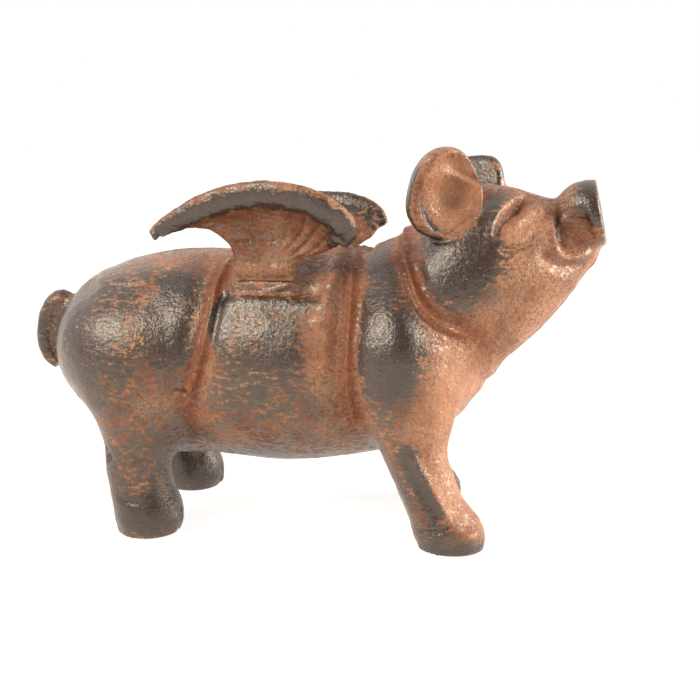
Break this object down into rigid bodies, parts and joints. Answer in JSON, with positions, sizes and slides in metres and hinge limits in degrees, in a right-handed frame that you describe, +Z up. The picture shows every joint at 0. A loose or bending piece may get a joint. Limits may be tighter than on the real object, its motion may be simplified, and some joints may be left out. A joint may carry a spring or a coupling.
{
  "type": "pig figurine",
  "caption": "Small hollow cast iron pig with raised wings and an upturned head, standing on its feet; the halves are screwed together and the wings screwed on.",
  "frame": {"origin": "on the floor under the middle of the figure: midway between tail and snout, and between the two wings' outer edges", "axes": "+X the way the snout points, +Y the pig's left, +Z up"},
  "size_m": [0.1275, 0.0552, 0.0805],
  "materials": {
    "painted_cast_iron": "satin",
    "steel_fixings": "satin"
  },
  "bodies": {
    "root": {"right_half": "painted_cast_iron", "left_half": "painted_cast_iron", "right_wing": "painted_cast_iron", "left_wing": "painted_cast_iron", "tail": "painted_cast_iron", "assembly_screw": "steel_fixings", "right_wing_screw": "steel_fixings", "left_wing_screw": "steel_fixings", "right_wing_washer": "steel_fixings", "left_wing_washer": "steel_fixings"}
  },
  "joints": []
}
